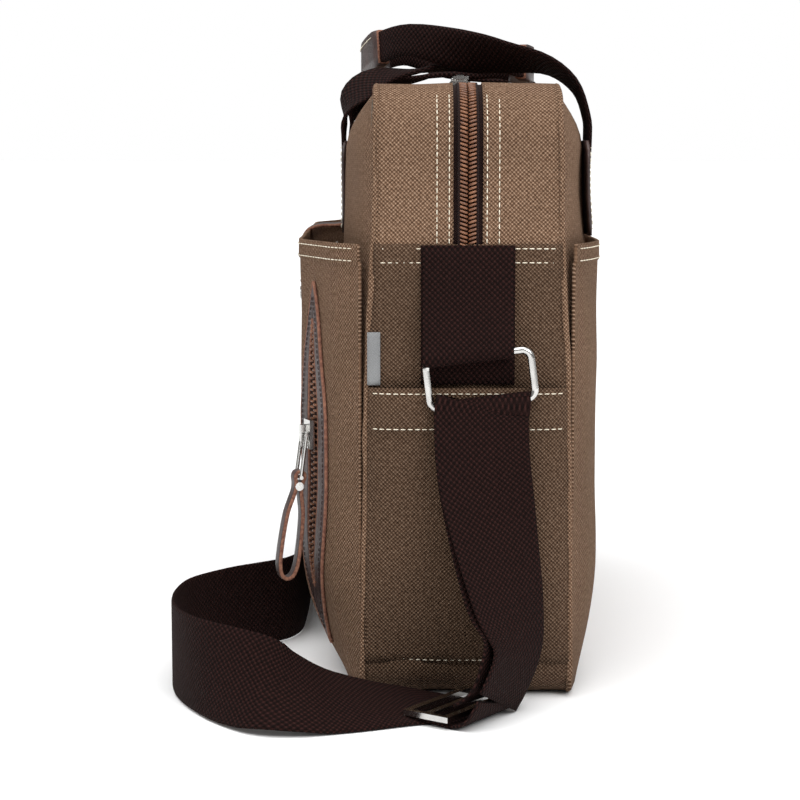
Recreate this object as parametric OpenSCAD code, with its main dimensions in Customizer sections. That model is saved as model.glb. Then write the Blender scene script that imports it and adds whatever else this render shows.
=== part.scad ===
// Canvas messenger bag with a shoulder strap, two hand grips, a main zip and a front zip pocket.
// Frame: X along the bag's width, front face towards -Y, +Z up, origin at the centre of the base.

/* [Body] */
// Width of the body along X
body_w = 380; // [360:5:400]
// Height of the body above the surface that it stands on
body_h = 330; // [320:5:340]
// Depth between the outer faces of the two end seams
body_d = 108; // [104:2:114]
// Thickness of a canvas wall
wall = 2; // [1.6:0.1:2.2]
// Radius of the two upper corners
top_r = 30; // [24:1:36]
// Radius of the two lower corners
bottom_r = 18; // [14:1:22]
// Height at which the zip gusset meets the lower end gusset
gusset_z = 246; // [240:1:250]
// How far the front and back panels swell out between their seams
swell = 12; // [10:1:14]

/* [Pockets] */
// Distance from the bag's middle to the flat face of the front pocket
front_y = 92; // [88:1:94]
// Half width of the flat face of the front pocket
front_flat = 125; // [122:1:128]
// Height of the front pocket's hem
front_hem_z = 246; // [240:1:248]
// Distance from the bag's middle to the flat face of the back pocket
back_y = 74; // [72:1:78]
// Height of the hem of the pocket on each end
side_hem_z = 170; // [160:1:171]
// Room inside the pocket on each end
side_room = 4.5; // [4.2:0.1:5]

/* [Zips] */
// Width of the main zip's coil
coil_w = 10; // [8:0.5:11]
// Width of the gap between the two halves of the zip gusset
zip_gap = 28; // [26:1:30]
// Length of the zip in the front pocket
front_zip_l = 150; // [140:1:155]
// Height of the leather frame round the front zip
frame_l = 203; // [195:1:206]
// Width of the leather frame round the front zip
frame_w = 40; // [36:1:42]

/* [Straps] */
// Width of the shoulder strap's webbing
strap_w = 50; // [50:1:51]
// Thickness of the webbing
webbing = 1.8; // [1.4:0.1:2]
// Thickness of the ring's wire
ring_d = 4.2; // [3.8:0.1:4.4]
// Width between the centre lines of the ring's side bars
ring_w = 56; // [56:0.5:57]
// Height between the centre lines of the ring's long bars
ring_h = 26; // [25:0.5:27]
// Tilt of the right ring as it hangs
ring_tilt = 7; // [0:1:8]

/* [Hidden] */

$fn = 48;
hull_fn = 32;
gap = 0.3;          // running clearance between pieces that move against each other
cut = 1;            // how far a cutting solid runs past the face that it opens
right = 1;
left = -1;

half_w = body_w / 2;
half_d = body_d / 2;
seam_y = half_d - wall;

canvas = "tan";
webbing_colour = [0.2, 0.13, 0.12];
leather = [0.28, 0.18, 0.16];
metal = "silver";
copper = [0.6, 0.38, 0.22];

// The flat middle of the swollen front and back panels
swell_flat = 120;
swell_low = 70;
swell_high = 290;

// Lining and inner pieces
lining_gap = 0.4;
lining_t = 0.8;
lining_in = wall + lining_gap;
mouth_w = 290;
mouth_d = 30;
board = [330, 92, 2.5];
board_z = lining_in + lining_t + gap;
divider = [336, 6, 240];
divider_y = 24;
inner_room = 6;
inner_pocket_size = [220, 1.2, 150];
inner_pocket_z = 60;

// Front pocket
pocket_foot_z = 20;
edge_x = half_w - 1;
edge_y = half_d + 4;
facet_x = half_w - 20;
facet_y = front_y - 18;
facet_run = facet_x - front_flat;
facet_rise = front_y - facet_y;
facet_turn = atan2(facet_rise, facet_run);
facet_mid = [front_flat + facet_run / 2, -(front_y + facet_y) / 2, 0];
pocket_divider = [270, 1.2, 214];
pocket_divider_y = 80;
back_flat = 150;
back_facet_y = 67;

// Front zip
zip_mid_z = 128;
frame_mid_z = 122;
frame_t = 1.8;
slot_w = 15;
front_coil_w = 6;
front_slider_z = 139;
pull_drop = 24;
pull_w = 8;
pull_wire = 2.2;
loop_l = 62;
loop_w = 13;
loop_room = 8;
loop_t = 12;
pull_lean = 8;

// Main zip sliders
slider_l = 16;
slider_w = 12;
slider_h = 6;
slider_meet_x = 22;
slider_z = body_h + 2.9;
pull_axis_z = slider_z + slider_h - 1.6;
flap_l = 24;
flap_w = 9;
flap_t = 1.8;

// Ring, tab and strap
pocket_face = half_w + side_room + wall * 0.7;
ring_x = pocket_face + 4.6;
ring_y = 5;
ring_z = 188;
ring_r = 5;
eye_w = ring_w - 2 * ring_r - 1;
eye_hole = ring_d / 2 + gap;
tab_l = 56;

// Adjuster
adjuster_at = [223, -6, 3.8];
adjuster_turn = -36;
adjuster_size = [58, 28, 3];
adjuster_slot = [52, 8];

// Snap tab on the front pocket
tab_half = 14;
tab_top_z = 250;
tab_foot_z = 198;
tab_t = 2.2;
tab_stand = 2.1;      // room between the pocket and the tab, for the snap's socket
snap_z = 209;
snap_r = 6;

// The webbing's routes: each row is a point and the direction that the webbing's width takes there.
strap_route = [
    [[204, 5, 155], [0, 1, 0.1]],
    [[210, 8, 130], [-0.1, 1, 0.1]],
    [[215, 14, 95], [-0.4, 0.9, 0]],
    [[222, 21, 60], [-0.65, 0.75, 0]],
    [[229, 25, 34], [-0.85, 0.53, 0]],
    [[237, 15, 10], [-0.82, 0.57, 0]],
    [[232.5, 7, 1.3], [-0.81, 0.585, 0]],
    [[223, -6, 1.2], [-0.81, 0.585, 0]],
    [[215.5, -19, 2], [-0.9, 0.4, -0.02]],
    [[222, -38, 5.6], [-0.96, 0.2, 0.06]],
    [[237, -69, 11.6], [-0.94, 0.07, 0.32]],
    [[246, -89, 18], [-0.8, 0.05, 0.55]],
    [[247, -106, 22.6], [-0.6, 0, 0.8]],
    [[238, -124, 24.6], [-0.35, 0, 0.95]],
    [[222, -141, 25.6], [-0.12, 0, 1]],
    [[198, -154, 25.5], [0, 0, 1]],
    [[170, -161, 25.5], [0, 0, 1]],
    [[140, -161, 25.5], [0, 0, 1]],
    [[113, -155, 25.5], [0, 0, 1]],
    [[86, -136, 25.5], [0, 0, 1]],
    [[70, -118, 25.5], [0, 0, 1]],
    [[56, -104, 25.5], [0, 0, 1]],
    [[35, -97, 25.5], [0, 0, 1]],
    [[0, -95.5, 25.5], [0, 0, 1]],
    [[-60, -95.5, 25.5], [0, 0, 1]],
    [[-130, -96, 25.5], [0, 0, 1]],
    [[-200, -98, 25.5], [0, 0, 1]],
    [[-252, -90, 25.5], [0, 0, 1]],
    [[-284, -58, 25.5], [0, 0, 1]],
    [[-286, -20, 33], [0.2, 0.35, 0.9]],
    [[-268, 4, 55], [0.1, 0.8, 0.5]],
    [[-238, 6, 95], [0, 1, 0.1]],
    [[-214, 1, 130], [0, 1, 0]],
    [[-205, 0, 154], [0, 1, 0]]
];
return_route = [
    [[198, 5, 155], [0, 1, 0.1]],
    [[204.5, 8, 130], [-0.1, 1, 0.1]],
    [[210, 12, 95], [-0.4, 0.9, 0]],
    [[218, 17, 60], [-0.65, 0.75, 0]],
    [[226, 20, 38], [-0.85, 0.53, 0]],
    [[232.5, 13, 19], [-0.83, 0.55, 0]],
    [[229, 3, 10], [-0.81, 0.585, 0]]
];
// One side of each hand grip's webbing, from its anchor to the middle of the grip, with its width.
back_route = [
    [[125, 68.5, 302], [1, 0, 0], 38],
    [[125, 67.5, 314], [1, 0, 0], 38],
    [[123, 61, 331], [1, 0, 0.1], 38],
    [[118, 45, 343], [0.9, 0.1, 0.15], 36],
    [[108, 20, 348], [0.8, 0.3, 0.35], 32],
    [[97, -6, 352.5], [0.5, 0.3, 0.6], 23],
    [[81, -30, 358], [0.1, 0.1, 1], 18],
    [[60, -46, 355], [0, 0, 1], 18],
    [[30, -54, 350], [0, 0, 1], 18],
    [[0, -56, 348], [0, 0, 1], 18]
];
front_route = [
    [[85, -68.5, 302], [1, 0, 0], 38],
    [[85, -67.5, 313], [1, 0, 0], 38],
    [[84, -62.5, 326], [1, 0, 0], 38],
    [[81, -48, 337], [1, 0, 0], 34],
    [[76, -24, 341], [0.95, 0.1, 0.05], 28],
    [[65, 0, 346.5], [0.75, -0.1, 0.25], 21],
    [[54, 22, 349], [0.2, 0, 1], 18],
    [[38, 36, 347], [0, 0, 1], 18],
    [[18, 41, 346.5], [0, 0, 1], 18],
    [[0, 42, 346.5], [0, 0, 1], 18]
];
strap_steps = 2;
handle_steps = 3;
handle_t = 2.4;
grip_t = 1.8;
grip_extra = 4;
grip_from = 7;
patch_w = 46;
patch_t = 1.8;
patch_top = 300;
grip_y = 68.5;
back_grip_x = 125;
front_grip_x = 85;

// A unit vector along v
function unit(v) = v / norm(v);
// Entry i of a list, or the nearest one that it has
function at(list, i) = list[max(0, min(len(list) - 1, i))];
// A point on the smooth curve between b and c, which lies between a and d
function spline(a, b, c, d, s) =
    0.5 * (2 * b + (c - a) * s + (2 * a - 5 * b + 4 * c - d) * s * s + (3 * b - a - 3 * c + d) * s * s * s);
// A list of points or values with more in between
function smooth(list, steps) = [
    for (i = [0:len(list) - 2], k = [0:steps - 1])
        spline(at(list, i - 1), at(list, i), at(list, i + 1), at(list, i + 2), k / steps),
    list[len(list) - 1]
];
function column(route, k) = [for (row = route) row[k]];
function tangent(points, i) = unit(at(points, i + 1) - at(points, i - 1));
function square_to(w, t) = unit(w - (w * t) * t);
// The four corners of a band's section
function band_ring(p, t, w, width, low, high) =
    let (a = square_to(w, t) * width / 2, n = cross(t, square_to(w, t)))
    [p - a + n * low, p + a + n * low, p + a + n * high, p - a + n * high];
// The other half of a hand grip's route, seen in a mirror across the middle of the bag
function mirrored(route) = [
    for (i = [len(route) - 2:-1:0])
        [[-route[i][0][0], route[i][0][1], route[i][0][2]],
         [-route[i][1][0], route[i][1][1], route[i][1][2]], route[i][2]]
];

// A flat band swept along points, with its width direction and its width at each one. Its two faces
// lie at low and high from the points, along the band's normal, and first drops rings at both ends.
// Both faces are split along the same diagonals, so that a twisted band keeps its thickness.
module band(points, across, widths, low, high, first = 0) {
    last = len(points) - 1 - 2 * first;
    corners = [
        for (i = [first:first + last])
            each band_ring(points[i], tangent(points, i), across[i], widths[i], low, high)
    ];
    sides = [
        for (i = [0:last - 1], k = [0:3])
            let (a = 4 * i + k, b = 4 * i + (k + 1) % 4)
            each k < 2 ? [[a, a + 4, b], [b, a + 4, b + 4]] : [[a, a + 4, b + 4], [a, b + 4, b]]
    ];
    ends = [[0, 1, 2], [0, 2, 3], [4 * last + 2, 4 * last + 1, 4 * last],
            [4 * last + 3, 4 * last + 2, 4 * last]];
    polyhedron(corners, concat(sides, ends));
}

module strap_band(route) {
    points = smooth(column(route, 0), strap_steps);
    widths = [for (p = points) strap_w];
    band(points, smooth(column(route, 1), strap_steps), widths, -webbing / 2, webbing / 2);
}

// The webbing of a hand grip, or a face beside it: route is one half, from an anchor to the middle
module handle_band(route, low, high, extra, first = 0) {
    whole = concat(route, mirrored(route));
    points = smooth(column(whole, 0), handle_steps);
    widths = smooth(column(whole, 2), handle_steps);
    band(points, smooth(column(whole, 1), handle_steps), [for (w = widths) w + extra], low, high, first);
}

// A shape drawn in X and Z, extruded along Y from y0 to y1
module along_y(y0, y1) {
    translate([0, y1, 0]) rotate([90, 0, 0]) linear_extrude(y1 - y0) children();
}

// A shape drawn in X and Y, standing on a face of the front pocket beside the right end seam
module on_facet(z, out) {
    translate(facet_mid) rotate([0, 0, facet_turn]) translate([0, -out, z]) children();
}

module mirror_to(side) {
    if (side == left) mirror([1, 0, 0]) children();
    else children();
}

module block(low, high) {
    translate(low) cube(high - low);
}

// The bag's outline seen from the front, drawn in from its edge by inset
module outline(inset) {
    w = half_w - inset;
    rt = top_r - inset;
    rb = bottom_r - inset;
    top = body_h - inset;
    translate([-w, inset + rb]) square([2 * w, top - rt - inset - rb]);
    translate([rt - w, top - rt - cut]) square([2 * (w - rt), rt + cut]);
    translate([rb - w, inset]) square([2 * (w - rb), rb + cut]);
    for (s = [left, right]) {
        translate([s * (w - rt), top - rt]) circle(rt);
        translate([s * (w - rb), inset + rb]) circle(rb);
    }
}

// A strip of the bag's wall round its outline, between two depths and above or below a height
module wall_strip(out, in, y0, y1) {
    along_y(y0, y1) difference() {
        outline(-out);
        outline(in);
    }
}

module above(z) {
    intersection() {
        children();
        block([-body_w, -body_d, z], [body_w, body_d, 2 * body_h]);
    }
}

// The outside of a panel that swells between its seams to a flat middle
module swelling(reach) {
    hull() {
        along_y(-half_d, -half_d + cut) outline(0, $fn = hull_fn);
        block([-swell_flat, -half_d - reach, swell_low], [swell_flat, -half_d, swell_high]);
    }
}

module panel_shell() {
    difference() {
        union() {
            swelling(swell);
            along_y(-half_d + cut, -seam_y) outline(0);
        }
        difference() {
            translate([0, wall, 0]) swelling(swell);
            along_y(-half_d, cut) difference() {
                outline(-cut);
                outline(wall * 3);
            }
        }
    }
}

module front_panel() {
    color(canvas) panel_shell();
}

module back_panel() {
    color(canvas) mirror([0, 1, 0]) panel_shell();
}

module zip_gusset(y0, y1) {
    color(canvas) above(gusset_z) wall_strip(0, wall, y0, y1);
}

module side_gusset(side) {
    color(canvas) mirror_to(side) intersection() {
        wall_strip(0, wall, -seam_y, seam_y);
        block([half_w - bottom_r, -body_d, 0], [body_w, body_d, gusset_z]);
    }
}

module base_panel() {
    reach = half_w - bottom_r;
    color(canvas) block([-reach, -seam_y, 0], [reach, seam_y, wall]);
}

module base_board() {
    color("dimgray")
        block([-board[0] / 2, -board[1] / 2, board_z], [board[0] / 2, board[1] / 2, board_z + board[2]]);
}

module lining() {
    y = seam_y - lining_gap;
    color("khaki") difference() {
        along_y(-y, y) outline(lining_in);
        along_y(lining_t - y, y - lining_t) outline(lining_in + lining_t);
        block([-mouth_w / 2, -mouth_d / 2, body_h - top_r], [mouth_w / 2, mouth_d / 2, body_h]);
    }
}

module laptop_divider() {
    z = board_z + board[2] + gap;
    color("gray")
        block([-divider[0] / 2, divider_y, z], [divider[0] / 2, divider_y + divider[1], z + divider[2]]);
}

// A slip pocket sewn to the lining of the front panel by its two sides and its foot
module inner_pocket() {
    w = inner_pocket_size[0] / 2;
    y = lining_t + lining_gap + gap - seam_y;
    top = inner_pocket_z + inner_pocket_size[2];
    color("gray") difference() {
        block([-w, y, inner_pocket_z], [w, y + inner_room + inner_pocket_size[1], top]);
        block([inner_pocket_size[1] - w, y - cut, inner_pocket_z + inner_pocket_size[1]],
              [w - inner_pocket_size[1], y + inner_room, top + cut]);
    }
}

module main_zip_tape() {
    color(webbing_colour) above(gusset_z) for (s = [left, right])
        wall_strip(0, wall / 2, s == left ? -zip_gap / 2 : coil_w / 4, s == left ? -coil_w / 4 : zip_gap / 2);
}

module main_zip_coil() {
    color(copper) above(gusset_z) wall_strip(2.6, -gap / 3, -coil_w / 2, coil_w / 2);
}

// A slider: its body over the coil and the bridge that its pull hangs from, with the zip along X
module slider_body(l, w, h) {
    difference() {
        union() {
            block([-l / 2, -w / 2, 0], [l / 2, w / 2, h * 0.45]);
            block([-l / 4, -w / 6, 0], [l / 3, w / 6, h + 0.6]);
        }
        translate([0, 0, h - 1.6]) rotate([90, 0, 0]) cylinder(r = 1.5, h = w, center = true);
    }
}

module main_slider(side) {
    color(metal) translate([slider_meet_x + side * (slider_l / 2 + gap), 0, slider_z])
        slider_body(slider_l, slider_w, slider_h);
}

// A flat pull with a pin through its slider's bridge, pointing away from the other slider
module main_pull(side) {
    color(metal) translate([slider_meet_x + side * (slider_l / 2 + gap), 0, pull_axis_z]) {
        rotate([90, 0, 0]) cylinder(r = 1.1, h = flap_w, center = true);
        mirror_to(side) {
            for (s = [left, right])
                translate([0, s * (flap_w / 2 - 0.9) - 0.9, -0.9]) cube([8, 1.8, flap_t]);
            translate([6.2, -flap_w / 2, -0.9]) cube([flap_l - 6.2, flap_w, flap_t]);
        }
    }
}

// A pocket's section: its flat face, a slanting facet on each side and its edges at the seams
module pocket_section(flat, y, facet, edge) {
    side = [[flat, -y], facet, edge];
    polygon(concat([for (p = side) p], [for (i = [2:-1:0]) [-side[i][0], side[i][1]]]));
}

module front_pocket() {
    color(canvas) difference() {
        translate([0, 0, pocket_foot_z - wall]) linear_extrude(front_hem_z - pocket_foot_z + wall)
            pocket_section(front_flat, front_y, [facet_x, -facet_y], [edge_x, -edge_y]);
        translate([0, 0, pocket_foot_z]) linear_extrude(front_hem_z)
            pocket_section(front_flat - 1, front_y - wall, [facet_x - wall, wall - facet_y],
                           [edge_x - wall - cut, cut - edge_y]);
        on_facet(zip_mid_z - front_zip_l / 2 - 2, 0)
            translate([-slot_w / 2, -wall * 2, 0]) cube([slot_w, wall * 5, front_zip_l + 4]);
    }
}

module front_pocket_divider() {
    w = pocket_divider[0] / 2;
    color("gray") block([-w, -pocket_divider_y, pocket_foot_z + 1],
                        [w, pocket_divider[1] - pocket_divider_y, pocket_foot_z + pocket_divider[2]]);
}

// A lens drawn upright about the origin: the overlap of two equal circles
module lens(w, l) {
    r = (l * l + w * w) / (4 * w);
    intersection() {
        translate([r - w / 2, 0]) circle(r, $fn = 180);
        translate([w / 2 - r, 0]) circle(r, $fn = 180);
    }
}

module front_zip_frame() {
    color(leather) on_facet(frame_mid_z, gap / 3) along_y(-frame_t, 0) difference() {
        lens(frame_w, frame_l);
        translate([0, zip_mid_z - frame_mid_z]) {
            lens(slot_w + 1, front_zip_l + 8);
            square([front_coil_w + 1, front_zip_l + 1], center = true);
        }
    }
}

module front_zip_tape() {
    color(webbing_colour) on_facet(zip_mid_z - front_zip_l / 2, 0) for (s = [left, right])
        translate([s == left ? -slot_w / 2 + gap : front_coil_w / 4, 0, 0])
            cube([slot_w / 2 - gap - front_coil_w / 4, 1, front_zip_l]);
}

module front_zip_coil() {
    color(copper) on_facet(zip_mid_z - front_zip_l / 2, 0)
        translate([-front_coil_w / 2, -2, 0]) cube([front_coil_w, 1.9, front_zip_l]);
}

module front_slider() {
    color(metal) on_facet(front_slider_z, 2.3) rotate([90, 0, 0]) rotate([0, 0, 90])
        slider_body(slider_l, slider_w - 2, slider_h);
}

// The front pull hangs from the slider's bridge: z is measured down from the bridge's pin
module front_pull_frame() {
    on_facet(front_slider_z, 2.3 + slider_h - 1.6) rotate([-pull_lean, 0, 0]) children();
}

module bar(length, r) {
    rotate([0, 90, 0]) cylinder(r = r, h = length, center = true);
}

module front_pull_hook() {
    r = pull_wire / 2;
    color(metal) front_pull_frame() {
        bar(pull_w + pull_wire, r);
        translate([0, 0, -pull_drop]) bar(pull_w + pull_wire, r);
        for (s = [left, right])
            translate([s * pull_w / 2, 0, -pull_drop]) cylinder(r = r, h = pull_drop);
    }
}

// A long loop with round ends, drawn upright from its top
module loop_outline(w, l) {
    translate([0, -w / 2]) circle(w / 2);
    translate([0, w / 2 - l]) circle(w / 2);
    translate([-w / 2, w / 2 - l]) square([w, l - w]);
}

module front_pull_loop() {
    wall_t = (loop_w - loop_room) / 2;
    color(leather) front_pull_frame() translate([0, 0, -pull_drop + 3.5]) rotate([90, 0, 90])
        translate([0, 0, -(pull_w - pull_wire - gap) / 2]) linear_extrude(pull_w - pull_wire - gap)
        difference() {
            loop_outline(loop_w, loop_l);
            translate([0, -3.5]) circle(r = pull_wire / 2 + gap);
            translate([0, -loop_t]) loop_outline(loop_room, loop_l - loop_t - wall_t);
        }
}

module front_pull_rivet() {
    color(metal) front_pull_frame() translate([(pull_w - pull_wire) / 2, 0, -pull_drop - 5])
        rotate([0, 90, 0]) cylinder(r = 2.4, h = 1);
}

module tab_patch() {
    y = half_d + swell;
    color(leather) block([-tab_half, -y - patch_t, tab_top_z], [tab_half, -y, tab_top_z + 18]);
}

module snap_tab() {
    y = front_y + tab_stand;
    color(leather) difference() {
        union() {
            block([-tab_half, -y - tab_t, tab_top_z - tab_t - gap],
                  [tab_half, -half_d - swell - patch_t - gap, tab_top_z - gap]);
            block([-tab_half, -y - tab_t, tab_foot_z + tab_half], [tab_half, -y, tab_top_z - gap]);
            along_y(-y - tab_t, -y) translate([0, tab_foot_z + tab_half]) circle(tab_half);
        }
        along_y(-y - tab_t - cut, -y + cut) translate([0, snap_z]) circle(2);
    }
}

module snap_cap() {
    y = front_y + tab_stand + tab_t;
    color(metal) {
        along_y(-y - 1.6, -y) translate([0, snap_z]) circle(snap_r);
        along_y(-y, -y + tab_t) translate([0, snap_z]) circle(1.9);
    }
}

module snap_socket() {
    color(metal) along_y(-front_y - 1.7, -front_y) translate([0, snap_z]) circle(snap_r - 0.5);
}

module back_pocket() {
    color(canvas) mirror([0, 1, 0]) difference() {
        translate([0, 0, pocket_foot_z - wall]) linear_extrude(front_hem_z - pocket_foot_z + wall)
            pocket_section(back_flat, back_y, [facet_x, -back_facet_y], [edge_x, -edge_y]);
        translate([0, 0, pocket_foot_z]) linear_extrude(front_hem_z)
            pocket_section(back_flat - 1, back_y - wall, [facet_x - wall, wall - back_facet_y],
                           [edge_x - wall - cut, cut - edge_y]);
    }
}

// A pocket on the bag's end, open at its hem, with its two edges caught in the end seams
module side_pocket(side) {
    t = wall * 0.7;
    edge = seam_y + 1.5;
    color(canvas) mirror_to(side) translate([half_w + gap / 3, 0, bottom_r])
        difference() {
            linear_extrude(side_hem_z - bottom_r) polygon([
                [0, -edge], [side_room + t, -edge + 7], [side_room + t, edge - 7], [0, edge]
            ]);
            translate([0, 0, t]) linear_extrude(side_hem_z) polygon([
                [-cut, -edge + 1], [side_room, -edge + 8.5], [side_room, edge - 8.5], [-cut, edge - 1]
            ]);
        }
}

module anchor_strip(side) {
    color(webbing_colour) mirror_to(side)
        block([half_w, -strap_w / 2, side_hem_z + 2], [half_w + webbing, strap_w / 2, gusset_z]);
}

// The frame of a ring: its origin is the middle of the ring's upper bar
module ring_frame(side) {
    mirror_to(side) translate([ring_x, side == right ? ring_y : 0, ring_z])
        rotate([side == right ? ring_tilt : 0, 0, 0]) children();
}

// Webbing doubled over the ring's upper bar
module ring_tab(side) {
    back = half_w + webbing + gap - ring_x;
    color(webbing_colour) ring_frame(side) along_y(-eye_w / 2, eye_w / 2) difference() {
        union() {
            circle(eye_hole + webbing);
            polygon([[back, tab_l], [back + 2 * webbing, tab_l], [eye_hole + webbing / 2, 2],
                     [-eye_hole - webbing / 2, -1], [back, 24]]);
        }
        circle(eye_hole);
    }
}

// A closed frame of round wire in Y and Z, hanging from the middle of its upper bar
module ring_wire() {
    r = ring_d / 2;
    y = ring_w / 2 - ring_r;
    z = ring_h / 2 - ring_r;
    translate([0, 0, -ring_h / 2]) rotate([90, 0, 90]) {
        for (s = [left, right]) {
            translate([-y, s * ring_h / 2, 0]) rotate([0, 90, 0]) cylinder(r = r, h = 2 * y);
            translate([s * ring_w / 2, z, 0]) rotate([90, 0, 0]) cylinder(r = r, h = 2 * z);
        }
        for (a = [0:90:270])
            translate([(a == 0 || a == 270 ? y : -y), (a < 180 ? z : -z), 0]) rotate([0, 0, a])
                rotate_extrude(angle = 90) translate([ring_r, 0]) circle(r);
    }
}

module ring(side) {
    color(metal) ring_frame(side) ring_wire();
}

// Webbing turned round the ring's lower bar
module strap_eye(side) {
    ring_frame(side) translate([0, 0, -ring_h]) along_y(-eye_w / 2, eye_w / 2) difference() {
        circle(eye_hole + webbing);
        circle(eye_hole);
    }
}

module shoulder_strap() {
    color(webbing_colour) {
        strap_band(strap_route);
        strap_eye(left);
    }
}

module strap_return() {
    color(webbing_colour) {
        strap_band(return_route);
        strap_eye(right);
    }
}

module adjuster() {
    color(metal) translate(adjuster_at) rotate([0, 0, adjuster_turn]) linear_extrude(adjuster_size[2])
        difference() {
            square([adjuster_size[0], adjuster_size[1]], center = true);
            for (s = [left, right])
                translate([0, s * (adjuster_slot[1] / 2 + 2)]) square(adjuster_slot, center = true);
        }
}

module handle(route) {
    color(webbing_colour) handle_band(route, -handle_t / 2, handle_t / 2, 0);
}

// Two leather faces, one on each side of the folded middle of a hand grip's webbing
module grip(route) {
    face = handle_t / 2 + 2 * gap;
    color(leather) {
        handle_band(route, face, face + grip_t, grip_extra, grip_from * handle_steps);
        handle_band(route, -face - grip_t, -face, grip_extra, grip_from * handle_steps);
    }
}

// A leather patch over the foot of a grip's webbing, from the swollen panel outwards
module patch(x, y, side) {
    low = half_d + swell;
    color(leather) mirror_to(side) mirror([0, y < 0 ? 1 : 0, 0])
        block([x - patch_w / 2, low, front_hem_z + 2], [x + patch_w / 2, abs(y) + patch_t, patch_top]);
}

module side_tag() {
    color("slategray")
        block([half_w + gap / 3, -seam_y - 1, side_hem_z + 1], [half_w + 0.9, -seam_y + 5, side_hem_z + 30]);
}

front_panel();
back_panel();
zip_gusset(-seam_y, -zip_gap / 2);  // zip_gusset_front
zip_gusset(zip_gap / 2, seam_y);  // zip_gusset_back
side_gusset(right);  // side_gusset_right
side_gusset(left);  // side_gusset_left
base_panel();
base_board();
lining();
laptop_divider();
inner_pocket();
main_zip_tape();
main_zip_coil();
main_slider(right);  // main_slider_right
main_slider(left);  // main_slider_left
main_pull(right);  // main_pull_right
main_pull(left);  // main_pull_left
front_pocket();
front_pocket_divider();
front_zip_frame();
front_zip_tape();
front_zip_coil();
front_slider();
front_pull_hook();
front_pull_loop();
front_pull_rivet();
tab_patch();
snap_tab();
snap_cap();
snap_socket();
back_pocket();
side_pocket(right);  // side_pocket_right
side_pocket(left);  // side_pocket_left
anchor_strip(right);  // anchor_strip_right
anchor_strip(left);  // anchor_strip_left
ring_tab(right);  // ring_tab_right
ring_tab(left);  // ring_tab_left
ring(right);  // ring_right
ring(left);  // ring_left
shoulder_strap();
strap_return();
adjuster();
handle(front_route);  // front_handle
handle(back_route);  // back_handle
grip(front_route);  // front_grip
grip(back_route);  // back_grip
patch(front_grip_x, -grip_y, right);  // front_patch_right
patch(front_grip_x, -grip_y, left);  // front_patch_left
patch(back_grip_x, grip_y, right);  // back_patch_right
patch(back_grip_x, grip_y, left);  // back_patch_left
side_tag();
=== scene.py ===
"""A canvas messenger bag with leather fittings: its looks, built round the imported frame."""
import math

import bpy
from mathutils import Euler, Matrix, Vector, noise


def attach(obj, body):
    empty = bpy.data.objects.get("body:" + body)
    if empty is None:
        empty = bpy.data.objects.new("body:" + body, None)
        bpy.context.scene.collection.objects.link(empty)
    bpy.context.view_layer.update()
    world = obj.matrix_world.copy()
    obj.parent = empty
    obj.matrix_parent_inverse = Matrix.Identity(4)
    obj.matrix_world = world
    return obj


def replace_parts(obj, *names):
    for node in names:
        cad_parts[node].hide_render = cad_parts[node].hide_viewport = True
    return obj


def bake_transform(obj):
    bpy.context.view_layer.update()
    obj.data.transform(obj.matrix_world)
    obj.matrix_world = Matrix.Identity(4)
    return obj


MM = 0.001

# Body, in metres
HALF_W = 0.190
TOP = 0.330
TOP_R = 0.030
BOTTOM_R = 0.018
GUSSET_Z = 0.246
HALF_DEPTH = [(0.0, 0.056), (0.03, 0.0555), (0.17, 0.0535), (0.25, 0.0495), (0.33, 0.048)]
SWELL = 0.018
SWELL_FOOT = 0.070
SWELL_HEAD = 0.035
CLOTH = 0.0014
LINING = 0.0008
SEAM_R = 0.0018
ZIP_GUSSET_RISE = 0.0006
SIDE_GUSSET_RISE = 0.0004
GUSSET_HEM_RISE = 0.0009

# Inside: node, half of its width, its place in Y, its foot, its top and its thickness
INSIDE_CLOTHS = [
    ("laptop_divider", 0.167, 0.0245, 0.0068, 0.2460, 0.005),
    ("inner_pocket", 0.109, -0.0445, 0.0605, 0.2095, 0.0012),
    ("front_pocket_divider", 0.118, -0.0795, 0.0300, 0.2330, 0.0012),
]

# Pockets: distance from the bag's middle to each outer face, by distance from the bag's centre line
FRONT_FACE = [(0.0, 0.092), (0.125, 0.092), (0.170, 0.074), (0.184, 0.063), (0.190, 0.056)]
BACK_FACE = [(0.0, 0.074), (0.150, 0.073), (0.170, 0.067), (0.184, 0.060), (0.190, 0.056)]
POCKET_FOOT = 0.004
POCKET_HEM = 0.246
POCKET_SWELL = 0.075
HEM = 0.011
HEM_RISE = 0.0008
HEM_SEAMS = (0.2435, 0.2370)
GUSSET_SEAMS = (0.2437, 0.2363)
SIDE_FOOT = 0.0195
SIDE_HEM = 0.170
SIDE_FOLD = 0.024
SIDE_BULGE = 0.0053
SIDE_RISE = 0.0007

# Main zip
TAPE_HALF = 0.0095
ZIP_EDGE = 0.0078
ZIP_SEAMS = (0.0100, 0.0165)
COIL_PITCH = 0.0022
COIL_R = 0.00074
COIL_MIDDLE = 0.0025
COIL_REACH = 0.0024
COIL_SLANT = 0.0008
CORD_MIDDLE = 0.0049
CORD_R = 0.0007

# Front zip
FACET_MID = (0.1475, 0.083)
FACET_TURN = math.atan2(0.018, 0.045)
FACET_OUT = Vector((math.sin(FACET_TURN), -math.cos(FACET_TURN), 0))
ZIP_MID = 0.128
ZIP_L = 0.150
FRAME_MID = 0.122
FRAME_L = 0.203
FRAME_W = 0.040
FRAME_RISE = 0.0019
FRAME_THICK = 0.0016
RIM_R = 0.0010
LIP_R = 0.0009
SLOT_W = 0.016
SLOT_L = ZIP_L + 0.008
TEETH = 92
TOOTH_R = 0.0008
TOOTH_OUT = 0.0013
PULL_PIN = Vector((0.149988, -0.089221, 0.139))
PULL_LEAN = math.radians(8)

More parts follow.
